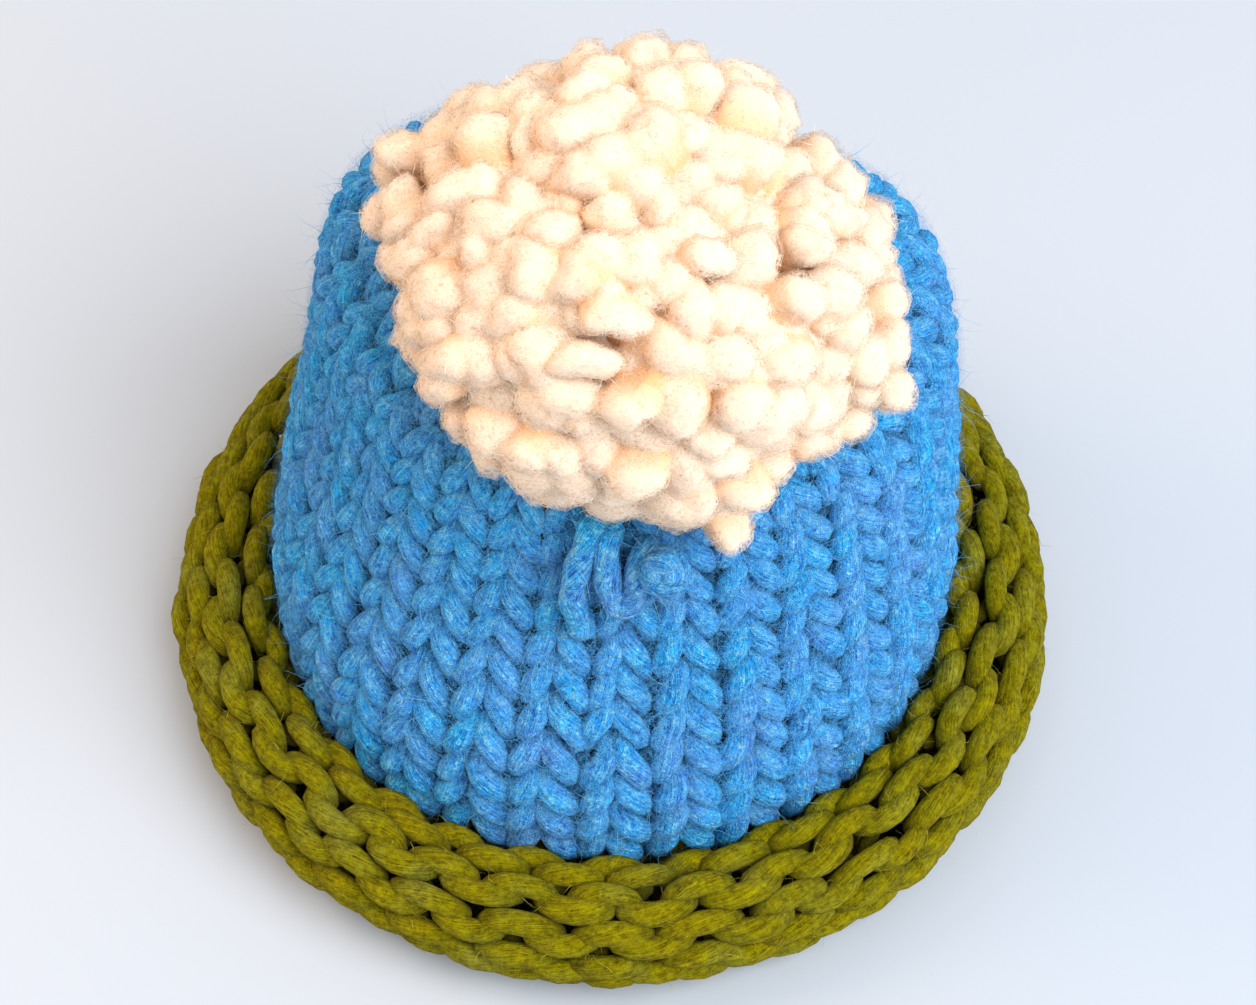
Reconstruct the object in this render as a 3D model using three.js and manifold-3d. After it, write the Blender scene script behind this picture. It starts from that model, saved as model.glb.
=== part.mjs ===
// Baby knit hat in bulky wool, in millimetres, +Z up.
// It stands on the underside of its rolled brim. The origin is the middle of that ring, at
// the level of the table, and -Y is the front, where the yarn that closes the crown is knotted.

import * as THREE from 'three';
import { mergeVertices } from 'three/addons/utils/BufferGeometryUtils.js';
import Module from 'manifold-3d';

const wasm = await Module();
wasm.setup();

// The knitted fabric
const STITCHES_ROUND = 30;
const STEPS_ROUND = 2 * STITCHES_ROUND;
const FABRIC = 6;
const SEAT_GAP = 0.3;

// The crown: a tube at the brim that turns into a leaning, four-cornered cap
const FOOT_RADIUS = 54.5;
const FOOT_HEIGHT = 14.3;
const TURN_FROM = 19;
const TURN_TO = 72;
const LEAN_RIGHT = 2.5;
const LEAN_BACK = 5;
const RIB_DEPTH = 2;
const OUTER_STEPS = 16;
const INNER_STEPS = 7;

// Side of the crown from foot to gather: reach is a share of the radius in that direction
const CROWN_SIDE = [
	{ reach: 1, height: FOOT_HEIGHT },
	{ reach: 1, height: 22 },
	{ reach: 1.015, height: 31 },
	{ reach: 1.02, height: 42 },
	{ reach: 1.02, height: 54 },
	{ reach: 1.01, height: 66 },
	{ reach: 0.95, height: 76 },
	{ reach: 0.76, height: 83 },
	{ reach: 0.45, height: 85.2 },
	{ reach: 0.2, height: 83.5 },
	{ reach: 0, height: 82 },
];

// Plan of the shoulder: a mean radius and the waves that stand out towards an azimuth
const SHOULDER_WAVES = [
	{ waves: 0, size: 45.6, towards: 0 },
	{ waves: 1, size: 1.25, towards: 59 },
	{ waves: 2, size: 3.9, towards: - 14 },
	{ waves: 3, size: 2.8, towards: 20 },
	{ waves: 4, size: 1.7, towards: 42 },
];

// How far the shoulder is lifted, as a share of its height
const LIFT_WAVES = [
	{ waves: 0, size: - 0.007, towards: 0 },
	{ waves: 1, size: 0.032, towards: 125 },
];

// The rolled brim: the fabric goes down inside the crown, curls out and winds up on itself
const ROLL_RADIUS = 11;
const ROLL_RING_RADIUS = 60.5;
const ROLL_CENTRE_HEIGHT = 10.4;
const FLAT_FROM = 57;
const FLAT_TO = 64;
const PURL_STEP = 17.5;
const PURL_FIRST = - 40;
const PURL_ROWS = 10;
const PURL_LOW = 1;
const PURL_GROOVE = 1.5;
const SEAT_LIP_HEIGHT = 18.5;
const CURL = [
	{ radius: 48.5, height: 8 },
	{ radius: 49.8, height: 4 },
	{ radius: 52.8, height: 1.2 },
];

// The pompom: a ball of yarn ends tied through its middle
const POMPOM_CENTRE = new THREE.Vector3( 4, - 12, 100 );
const POMPOM_RADIUS = 38;
const POMPOM_CORE_RADIUS = 30;
const CORE_DETAIL = 2;
const LOCKS = 60;
const LOCK_SIDES = 6;
const LOCK_LENGTH = 16;
const LOCK_OUTLINE = [
	{ radius: 0, along: 0 },
	{ radius: 5, along: 0.15 },
	{ radius: 8.4, along: 0.6 },
	{ radius: 6.2, along: 0.88 },
	{ radius: 0, along: 1 },
];
const TIE_DENT = 5;
const TIE_DENT_WIDTH = 0.16;
const TIE_BACK = 0.12;
const FRONT_SIDES_SHORT = 4;
const LOWER_HALF_FROM = - 0.4;
const LOWER_HALF_TO = 0.5;

// The knot: one end of the closing yarn, looped and tucked back under the pompom
const YARN_RADIUS = 2.4;
const YARN_SIDES = 8;
const KNOT_STEPS = 18;
const KNOT_ROUTE = [
	{ x: - 9, y: - 32.5, z: 77 },
	{ x: - 8, y: - 38.4, z: 71 },
	{ x: - 3.5, y: - 40.8, z: 66 },
	{ x: 2.5, y: - 41, z: 67 },
	{ x: 7.5, y: - 39.6, z: 71.5 },
	{ x: 10.5, y: - 35, z: 76 },
];

const BLUE_WOOL = new THREE.MeshStandardMaterial( { color: 0x4b94c9, roughness: 0.95, metalness: 0 } );
const GREEN_WOOL = new THREE.MeshStandardMaterial( { color: 0x9a9a1c, roughness: 0.9, metalness: 0 } );
const CREAM_WOOL = new THREE.MeshStandardMaterial( { color: 0xf7e8d2, roughness: 0.95, metalness: 0 } );
const KNOT_WOOL = new THREE.MeshStandardMaterial( { color: 0x5aa2d4, roughness: 0.95, metalness: 0 } );

// A round surface stands with its azimuth counted from +X, and its seam at the front
function azimuthOf( step, steps ) {

	return 2 * Math.PI * step / steps - Math.PI / 2;

}

function sumOfWaves( table, azimuth ) {

	let sum = 0;
	for ( const row of table ) {

		sum += row.size * Math.cos( row.waves * ( azimuth - THREE.MathUtils.degToRad( row.towards ) ) );

	}

	return sum;

}

const crownSide = new THREE.SplineCurve( CROWN_SIDE.map( ( row ) => new THREE.Vector2( row.reach, row.height ) ) );

// A point of the crown at a share of its side, sunk below the outer face by a depth
function crownPoint( azimuth, share, depth ) {

	const side = crownSide.getPoint( share );
	const slope = crownSide.getTangent( share );
	const turn = THREE.MathUtils.smoothstep( side.y, TURN_FROM, TURN_TO );
	const radius = ( 1 - turn ) * FOOT_RADIUS + turn * sumOfWaves( SHOULDER_WAVES, azimuth );
	const along = new THREE.Vector2( slope.x * radius, slope.y ).normalize();
	const lean = new THREE.Vector3( turn * LEAN_RIGHT, turn * LEAN_BACK, 0 );
	if ( share === 1 ) return lean.setZ( side.y - depth );
	const out = side.x * radius - depth * along.y;
	const up = side.y * ( 1 + turn * side.x * sumOfWaves( LIFT_WAVES, azimuth ) ) + depth * along.x;
	return lean.add( new THREE.Vector3( out * Math.cos( azimuth ), out * Math.sin( azimuth ), up ) );

}

// A turned body whose section is then moved point by point: place gives each point's position
function turned( section, steps, place ) {

	const outline = section.map( ( row, index ) => new THREE.Vector2( row.onAxis ? 0 : 1, index ) );
	const geometry = new THREE.LatheGeometry( outline, steps );
	const position = geometry.getAttribute( 'position' );
	for ( let step = 0; step <= steps; step ++ ) {

		section.forEach( ( row, index ) => {

			const point = place( row, step % steps );
			position.setXYZ( step * section.length + index, point.x, point.y, point.z );

		} );

	}

	return closed( geometry );

}

// One closed mesh: shared corners are joined, and triangles that have shrunk to a line go
const SAME_POINT = 1e-4;

function closed( geometry ) {

	geometry.deleteAttribute( 'normal' );
	geometry.deleteAttribute( 'uv' );
	const merged = mergeVertices( geometry, SAME_POINT );
	const corners = Array.from( merged.getIndex().array );
	const kept = [];
	for ( let i = 0; i < corners.length; i += 3 ) {

		const [ a, b, c ] = corners.slice( i, i + 3 );
		if ( a !== b && b !== c && c !== a ) kept.push( a, b, c );

	}

	merged.setIndex( kept );
	return merged;

}

function toSolid( geometry ) {

	return new wasm.Manifold( new wasm.Mesh( {
		numProp: 3,
		vertProperties: new Float32Array( geometry.getAttribute( 'position' ).array ),
		triVerts: new Uint32Array( geometry.getIndex().array ),
	} ) );

}

function toGeometry( solid ) {

	const mesh = solid.getMesh();
	const geometry = new THREE.BufferGeometry();
	geometry.setAttribute( 'position', new THREE.BufferAttribute( new Float32Array( mesh.vertProperties ), 3 ) );
	geometry.setIndex( Array.from( mesh.triVerts ) );
	return geometry;

}

// Crown: a hollow shell with a rib for each column of stitches and a groove between ribs
function crownGeometry() {

	const section = [];
	for ( let i = INNER_STEPS; i >= 0; i -- ) {

		section.push( { share: i / INNER_STEPS, depth: FABRIC, ribbed: false, onAxis: i === INNER_STEPS } );

	}

	for ( let i = 0; i <= OUTER_STEPS; i ++ ) {

		section.push( { share: i / OUTER_STEPS, depth: 0, ribbed: true, onAxis: i === OUTER_STEPS } );

	}

	return turned( section, STEPS_ROUND, ( row, step ) => {

		const groove = row.ribbed && ! row.onAxis && step % 2 === 1 ? RIB_DEPTH : 0;
		return crownPoint( azimuthOf( step, STEPS_ROUND ), row.share, row.depth + groove );

	} );

}

// The crown's full form without ribs or hollow, grown by a gap: what sits on it is cut by this
function crownForm( gap ) {

	const section = [ { share: 0, onAxis: true } ];
	for ( let i = 0; i <= OUTER_STEPS; i ++ ) {

		section.push( { share: i / OUTER_STEPS, onAxis: i === OUTER_STEPS } );

	}

	return toSolid( turned( section, STITCHES_ROUND, ( row, step ) => {

		const point = crownPoint( azimuthOf( step, STITCHES_ROUND ), row.share, - gap );
		return row.onAxis && row.share === 0 ? new THREE.Vector3( 0, 0, FOOT_HEIGHT ) : point;

	} ) );

}

// Rolled brim: purl bumps in rows along the roll, each row shifted by half a bump
function brimGeometry() {

	const seatRadius = FOOT_RADIUS + SEAT_GAP;
	const seatHeight = FOOT_HEIGHT - SEAT_GAP;
	const section = [ { radius: FLAT_FROM, height: 0 }, { radius: FLAT_TO, height: 0 } ];
	for ( let row = 0; row < PURL_ROWS; row ++ ) {

		const crest = PURL_FIRST + row * PURL_STEP;
		section.push( { angle: crest, parity: row % 2 } );
		if ( row < PURL_ROWS - 1 ) section.push( { angle: crest + PURL_STEP / 2, groove: true } );

	}

	section.push( { radius: seatRadius, height: SEAT_LIP_HEIGHT } );
	section.push( { radius: seatRadius, height: seatHeight } );
	section.push( { radius: FOOT_RADIUS - FABRIC, height: seatHeight } );
	section.push( ...CURL, section[ 0 ] );
	return turned( section, STEPS_ROUND, ( row, step ) => {

		const azimuth = azimuthOf( step, STEPS_ROUND );
		let radius = row.radius;
		let height = row.height;
		if ( row.angle !== undefined ) {

			const low = row.groove ? PURL_GROOVE : ( step + row.parity ) % 2 * PURL_LOW;
			const angle = THREE.MathUtils.degToRad( row.angle );
			radius = ROLL_RING_RADIUS + ( ROLL_RADIUS - low ) * Math.cos( angle );
			height = ROLL_CENTRE_HEIGHT + ( ROLL_RADIUS - low ) * Math.sin( angle );

		}

		return new THREE.Vector3( radius * Math.cos( azimuth ), radius * Math.sin( azimuth ), height );

	} );

}

// How far the yarn ends reach in a direction: short at the tie line over the top, and at the
// lower front to the left and right, where the ball is less full
function pompomReach( direction ) {

	const fromTie = ( direction.y - TIE_BACK ) / TIE_DENT_WIDTH;
	const tie = TIE_DENT * Math.exp( - fromTie * fromTie ) * Math.max( direction.z, 0 );
	const low = 1 - THREE.MathUtils.smoothstep( direction.z, LOWER_HALF_FROM, LOWER_HALF_TO );
	const corner = 2 * Math.max( - direction.y, 0 ) * Math.abs( direction.x );
	return POMPOM_RADIUS - tie - FRONT_SIDES_SHORT * low * corner;

}

// Pompom: blunt locks set evenly over a core, fused to it, and cut where they rest
function pompomGeometry( rest ) {

	const core = new THREE.IcosahedronGeometry( POMPOM_CORE_RADIUS, CORE_DETAIL );
	let ball = toSolid( closed( core ) );
	const outline = LOCK_OUTLINE.map( ( row ) => new THREE.Vector2( row.radius, row.along * LOCK_LENGTH ) );
	const golden = Math.PI * ( 3 - Math.sqrt( 5 ) );
	for ( let i = 0; i < LOCKS; i ++ ) {

		const up = 1 - 2 * ( i + 0.5 ) / LOCKS;
		const flat = Math.sqrt( 1 - up * up );
		const direction = new THREE.Vector3( flat * Math.cos( i * golden ), flat * Math.sin( i * golden ), up );
		const lock = new THREE.LatheGeometry( outline, LOCK_SIDES );
		const turn = new THREE.Quaternion().setFromUnitVectors( new THREE.Vector3( 0, 1, 0 ), direction );
		const start = direction.clone().multiplyScalar( pompomReach( direction ) - LOCK_LENGTH );
		lock.applyQuaternion( turn );
		lock.translate( start.x, start.y, start.z );
		ball = ball.add( toSolid( closed( lock ) ) );

	}

	ball = ball.translate( POMPOM_CENTRE.toArray() );
	for ( const solid of rest ) ball = ball.subtract( solid );
	return toGeometry( ball );

}

// Knot: a round yarn bent over the crown's front shoulder
function knotSolid( yarnRadius ) {

	const route = new THREE.CatmullRomCurve3( KNOT_ROUTE.map( ( row ) => new THREE.Vector3( row.x, row.y, row.z ) ) );
	const section = new THREE.Shape();
	for ( let i = 0; i < YARN_SIDES; i ++ ) {

		const angle = 2 * Math.PI * i / YARN_SIDES;
		const x = yarnRadius * Math.cos( angle );
		const y = yarnRadius * Math.sin( angle );
		if ( i === 0 ) section.moveTo( x, y );
		else section.lineTo( x, y );

	}

	section.closePath();
	const yarn = new THREE.ExtrudeGeometry( section, { steps: KNOT_STEPS, extrudePath: route, bevelEnabled: false } );
	return toSolid( closed( yarn ) );

}

const seat = crownForm( SEAT_GAP );
const knot = knotSolid( YARN_RADIUS ).subtract( seat );

const hat = new THREE.Group();

function piece( name, geometry, material ) {

	const mesh = new THREE.Mesh( geometry, material );
	mesh.name = name;
	hat.add( mesh );

}

piece( 'crown', crownGeometry(), BLUE_WOOL );
piece( 'rolled_brim', brimGeometry(), GREEN_WOOL );
piece( 'pompom', pompomGeometry( [ seat, knotSolid( YARN_RADIUS + SEAT_GAP ) ] ), CREAM_WOOL );
piece( 'gather_knot', toGeometry( knot ), KNOT_WOOL );

export default hat;
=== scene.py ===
import math

import bpy
import numpy as np
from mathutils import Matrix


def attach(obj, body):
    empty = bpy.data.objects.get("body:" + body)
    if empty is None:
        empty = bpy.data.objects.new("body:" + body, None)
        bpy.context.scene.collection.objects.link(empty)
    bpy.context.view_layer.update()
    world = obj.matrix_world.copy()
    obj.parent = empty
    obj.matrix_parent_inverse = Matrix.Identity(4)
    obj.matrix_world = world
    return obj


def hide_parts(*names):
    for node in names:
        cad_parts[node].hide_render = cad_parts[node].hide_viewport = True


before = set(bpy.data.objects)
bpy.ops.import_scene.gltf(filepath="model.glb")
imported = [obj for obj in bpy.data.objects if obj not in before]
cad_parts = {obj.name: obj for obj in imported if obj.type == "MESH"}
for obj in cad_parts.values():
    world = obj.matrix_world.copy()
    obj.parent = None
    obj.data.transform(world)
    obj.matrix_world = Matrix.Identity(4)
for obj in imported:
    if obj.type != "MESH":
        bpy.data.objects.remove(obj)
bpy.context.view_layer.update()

# Camera: it looks down on the front of the hat from 55 degrees above the table, from close
# by, so that the crown narrows away from it and the round brim shows as an oval.
MM = 0.001
AIM = (2.67 * MM, 9.6 * MM, 20 * MM)
LOOK_DOWN = math.radians(55)
CAMERA_AWAY = 460 * MM
FOCAL_LENGTH_IN_PIXELS = 2796.8
PICTURE_WIDTH = 1256
SENSOR_WIDTH = 36

camera_data = bpy.data.cameras.new("camera")
camera_data.sensor_width = SENSOR_WIDTH
camera_data.lens = SENSOR_WIDTH * FOCAL_LENGTH_IN_PIXELS / PICTURE_WIDTH
camera = bpy.data.objects.new("camera", camera_data)
camera.location = (
    AIM[0],
    AIM[1] - CAMERA_AWAY * math.cos(LOOK_DOWN),
    AIM[2] + CAMERA_AWAY * math.sin(LOOK_DOWN),
)
camera.rotation_euler = (math.pi / 2 - LOOK_DOWN, 0, 0)
bpy.context.scene.collection.objects.link(camera)
bpy.context.scene.camera = camera

# Crown: the hollow blue part, knitted in the round from the brim up in bulky heathered wool.
# The knit side is out. Two rounds of decreases near the top halve the stitches, and the
# last loops are drawn together under the pompom.
STITCHES_ROUND = 30
STITCH_WIDTH = 11.5 * MM
# the form that the stitches lie on, in millimetres: it is round at the foot, and between two
# heights it turns into the outline of the shoulder, which leans to the right and back
FOOT_RADIUS = 54.5
FOOT_HEIGHT = 14.3
TURN_FROM = 19
TURN_TO = 72
LEAN = (2.5, 5)
# reach as a share of the radius in that direction, and height
CROWN_SIDE = (
    (1, FOOT_HEIGHT),
    (1, 22),
    (1.015, 31),
    (1.02, 42),
    (1.02, 54),
    (1.01, 66),
    (0.95, 76),
    (0.76, 83),
    (0.45, 85.2),
    (0.2, 83.5),
    (0, 82),
)
# number of waves round the shoulder, size, and the azimuth that they stand out towards
SHOULDER_WAVES = ((0, 45.6, 0), (1, 1.25, 59), (2, 3.9, -14), (3, 2.8, 20), (4, 1.7, 42))
LIFT_WAVES = ((0, -0.007, 0), (1, 0.032, 125))
# how far the middle of the fabric lies below its outer face
FABRIC_MIDDLE = 3.5
FORM_COLUMNS = 204
FORM_ROWS = 120
SIDE_SAMPLES = 400
CROWN_ROWS = 17.1
CROWN_YARN_RADIUS = 1.9 * MM
# the length of yarn in one stitch
CROWN_YARN_LENGTH = 33 * MM
# the tightest and loosest stitches, as shares of an even one
TIGHTEST = 0.45
LOOSEST = 1.05
# how quickly stitches change along a row, by a slow change and a quick one
SLOW_CHANGE = 0.9
QUICK_CHANGE = 2.6
LUMPS_IN_A_METRE = 240.0


def sum_of_waves(table, azimuth):
    """A size that changes with the direction, as the table's waves add up."""
    total = 0
    for waves, size, towards in table:
        total = total + size * np.cos(waves * (azimuth - math.radians(towards)))
    return total


def through_points(table, share):
    """A smooth line through the rows of a table, by the share of the way along it."""
    points = np.array(table, float)
    last = len(points) - 1
    place = np.clip(share, 0, 1) * last
    i = np.minimum(place.astype(int), last - 1)
    t = (place - i)[..., None]
    a, b = points[i], points[i + 1]
    leave = (b - points[np.maximum(i - 1, 0)]) / 2
    arrive = (points[np.minimum(i + 2, last)] - a) / 2
    bow = 3 * (b - a) - 2 * leave - arrive
    swing = 2 * (a - b) + leave + arrive
    return a + t * leave + t**2 * bow + t**3 * swing


def crown_points(azimuth, share, depth):
    """Points of the crown, sunk below its outer face by a depth, in millimetres."""
    step = 0.001
    slope = through_points(CROWN_SIDE, share + step) - through_points(CROWN_SIDE, share - step)
    reach, height = np.moveaxis(through_points(CROWN_SIDE, share), -1, 0)
    t = np.clip((height - TURN_FROM) / (TURN_TO - TURN_FROM), 0, 1)
    turn = t * t * (3 - 2 * t)
    radius = (1 - turn) * FOOT_RADIUS + turn * sum_of_waves(SHOULDER_WAVES, azimuth)
    along = np.stack([slope[..., 0] * radius, slope[..., 1]], -1)
    along /= np.linalg.norm(along, axis=-1, keepdims=True)
    out = np.maximum(reach * radius - depth * along[..., 1], 0)
    up = height * (1 + turn * reach * sum_of_waves(LIFT_WAVES, azimuth)) + depth * along[..., 0]
    x = out * np.cos(azimuth) + turn * LEAN[0]
    y = out * np.sin(azimuth) + turn * LEAN[1]
    return np.stack([x, y, up], -1)


def even_shares(rows):
    """Shares of the crown's side that are evenly far apart along it."""
    shares = np.linspace(0, 1, SIDE_SAMPLES)
    side = crown_points(np.full_like(shares, math.radians(180)), shares, 0)
    length = np.concatenate([[0], np.cumsum(np.linalg.norm(np.diff(side, axis=0), axis=1))])
    return np.interp(np.linspace(0, length[-1], rows), length, shares)


def form_object(name, points, facing):
    """The smooth middle surface of a fabric: stitches are laid on it by its UV map."""
    points = points * MM
    rows, columns = points.shape[:2]
    across = np.gradient(points, axis=1)
    across[:, 0] = across[:, -1] = (points[:, 1] - points[:, -2]) / 2
    upward = np.gradient(points, axis=0)
    out = np.cross(across, upward) * facing
    out /= np.maximum(np.linalg.norm(out, axis=-1, keepdims=True), 1e-12)
    girth = np.linalg.norm(across, axis=-1) * (columns - 1)
    corner = np.arange(rows * columns).reshape(rows, columns)
    quads = np.stack([corner[:-1, :-1], corner[:-1, 1:], corner[1:, 1:], corner[1:, :-1]], -1)
    quads = quads.reshape(-1, 4)
    mesh = bpy.data.meshes.new(name)
    mesh.from_pydata(points.reshape(-1, 3).tolist(), [], quads.tolist())
    u, v = np.meshgrid(np.linspace(0, 1, columns), np.linspace(0, 1, rows))
    flat = np.stack([u, v], -1).reshape(-1, 2)[quads.ravel()]
    mesh.uv_layers.new(name="laid").data.foreach_set("uv", flat.ravel())
    mesh.attributes.new("out", "FLOAT_VECTOR", "POINT").data.foreach_set("vector", out.ravel())
    mesh.attributes.new("girth", "FLOAT", "POINT").data.foreach_set("value", girth.ravel())
    form = bpy.data.objects.new(name, mesh)
    bpy.context.scene.collection.objects.link(form)
    return form


def add_node(tree, kind, inputs=None, **settings):
    """A node with its options set, and its inputs joined to a socket or set to a value."""
    made = tree.nodes.new(kind)
    for key, value in settings.items():
        setattr(made, key, value)
    for key, value in (inputs or {}).items():
        value = value.socket if isinstance(value, Number) else value
        if isinstance(value, bpy.types.NodeSocket):
            tree.links.new(value, made.inputs[key])
        else:
            made.inputs[key].default_value = value
    return made


class Number:
    """A number that nodes work out, so that a formula for them reads as a formula."""

    def __init__(self, tree, socket):
        self.tree = tree
        self.socket = socket

    def worked(self, operation, *others):
        inputs = dict(enumerate((self, *others)))
        made = add_node(self.tree, "ShaderNodeMath", inputs, operation=operation)
        return Number(self.tree, made.outputs[0])

    def __add__(self, other):
        return self.worked("ADD", other)

    def __mul__(self, other):
        return self.worked("MULTIPLY", other)

    def __sub__(self, other):
        return self.worked("SUBTRACT", other)

    def __truediv__(self, other):
        return self.worked("DIVIDE", other)

    def __rsub__(self, other):
        return self.worked("MULTIPLY", -1).worked("ADD", other)

    __radd__ = __add__

    def sin(self):
        return self.worked("SINE")

    def cos(self):
        return self.worked("COSINE")


def vector_of(tree, x, y, z):
    return add_node(tree, "ShaderNodeCombineXYZ", {0: x, 1: y, 2: z}).outputs[0]


def parts_of(tree, vector):
    made = add_node(tree, "ShaderNodeSeparateXYZ", {0: vector})
    return [Number(tree, socket) for socket in made.outputs]


def vectors(tree, operation, *inputs):
    inputs = dict(enumerate(inputs))
    return add_node(tree, "ShaderNodeVectorMath", inputs, operation=operation).outputs[0]


def scaled(tree, vector, factor):
    inputs = {0: vector, "Scale": factor}
    return add_node(tree, "ShaderNodeVectorMath", inputs, operation="SCALE").outputs[0]


def along_axis(tree, vector, axis):
    inputs = {0: vector, 1: axis}
    made = add_node(tree, "ShaderNodeVectorMath", inputs, operation="DOT_PRODUCT")
    return Number(tree, made.outputs["Value"])


def noise_about_zero(tree, vector, scale, detail=1.0):
    """Three smooth random numbers around zero, by place."""
    inputs = {"Vector": vector, "Scale": scale, "Detail": detail}
    noise = add_node(tree, "ShaderNodeTexNoise", inputs)
    return vectors(tree, "SUBTRACT", noise.outputs["Color"], (0.5, 0.5, 0.5))


def own_place(tree):
    """Where each point of the shape that is being worked on lies."""
    return tree.nodes.new("GeometryNodeInputPosition").outputs[0]


def own_normal(tree):
    return tree.nodes.new("GeometryNodeInputNormal").outputs[0]


def shape_of(tree, piece):
    return add_node(tree, "GeometryNodeObjectInfo", {"Object": piece}).outputs["Geometry"]


def moved(tree, geometry, offset):
    inputs = {"Geometry": geometry, "Offset": offset}
    return add_node(tree, "GeometryNodeSetPosition", inputs).outputs[0]


def moved_to(tree, geometry, place):
    inputs = {"Geometry": geometry, "Position": place}
    return add_node(tree, "GeometryNodeSetPosition", inputs).outputs[0]


def named_value(tree, name, data_type="FLOAT"):
    made = add_node(tree, "GeometryNodeInputNamedAttribute", {"Name": name}, data_type=data_type)
    return made.outputs["Attribute"]


def stored(tree, geometry, name, value, data_type="FLOAT"):
    """The shape, with a value kept on each of its points for later nodes and for its material."""
    inputs = {"Geometry": geometry, "Name": name, "Value": value}
    made = add_node(tree, "GeometryNodeStoreNamedAttribute", inputs, data_type=data_type, domain="POINT")
    return made.outputs[0]


def new_tree(name, sizes):
    """An empty tree of geometry nodes with named inputs: sizes gives each one's socket type."""
    tree = bpy.data.node_groups.new(name, "GeometryNodeTree")
    for size, kind in sizes.items():
        tree.interface.new_socket(size, in_out="INPUT", socket_type="NodeSocket" + kind)
    tree.interface.new_socket("Geometry", in_out="OUTPUT", socket_type="NodeSocketGeometry")
    given = tree.nodes.new("NodeGroupInput")
    number = {size: Number(tree, given.outputs[size]) for size in sizes}
    return tree, number


def end_tree(tree, geometry, material):
    """The end of every tree: nothing dips below the table, and all is smooth and one mesh."""
    x, y, z = parts_of(tree, own_place(tree))
    geometry = moved_to(tree, geometry, vector_of(tree, x, y, z.worked("MAXIMUM", 0.0)))
    smooth = add_node(tree, "GeometryNodeSetShadeSmooth", {"Geometry": geometry})
    real = add_node(tree, "GeometryNodeRealizeInstances", {"Geometry": smooth.outputs[0]})
    inputs = {"Geometry": real.outputs[0], "Material": material}
    finished = add_node(tree, "GeometryNodeSetMaterial", inputs)
    leaving = tree.nodes.new("NodeGroupOutput")
    tree.links.new(finished.outputs[0], leaving.inputs[0])


def made_by(tree, name, values):
    """Runs a tree of geometry nodes with the given sizes and keeps its result as a plain mesh."""
    piece = bpy.data.objects.new(name, bpy.data.meshes.new(name))
    bpy.context.scene.collection.objects.link(piece)
    modifier = piece.modifiers.new(name, "NODES")
    modifier.node_group = tree
    for item in tree.interface.items_tree:
        if item.in_out == "INPUT":
            modifier[item.identifier] = values[item.name]
    piece.update_tag()
    depsgraph = bpy.context.evaluated_depsgraph_get()
    seen = piece.evaluated_get(depsgraph)
    result = bpy.data.meshes.new_from_object(seen, preserve_all_data_layers=True, depsgraph=depsgraph)
    piece.modifiers.clear()
    piece.data = result
    return piece


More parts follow.
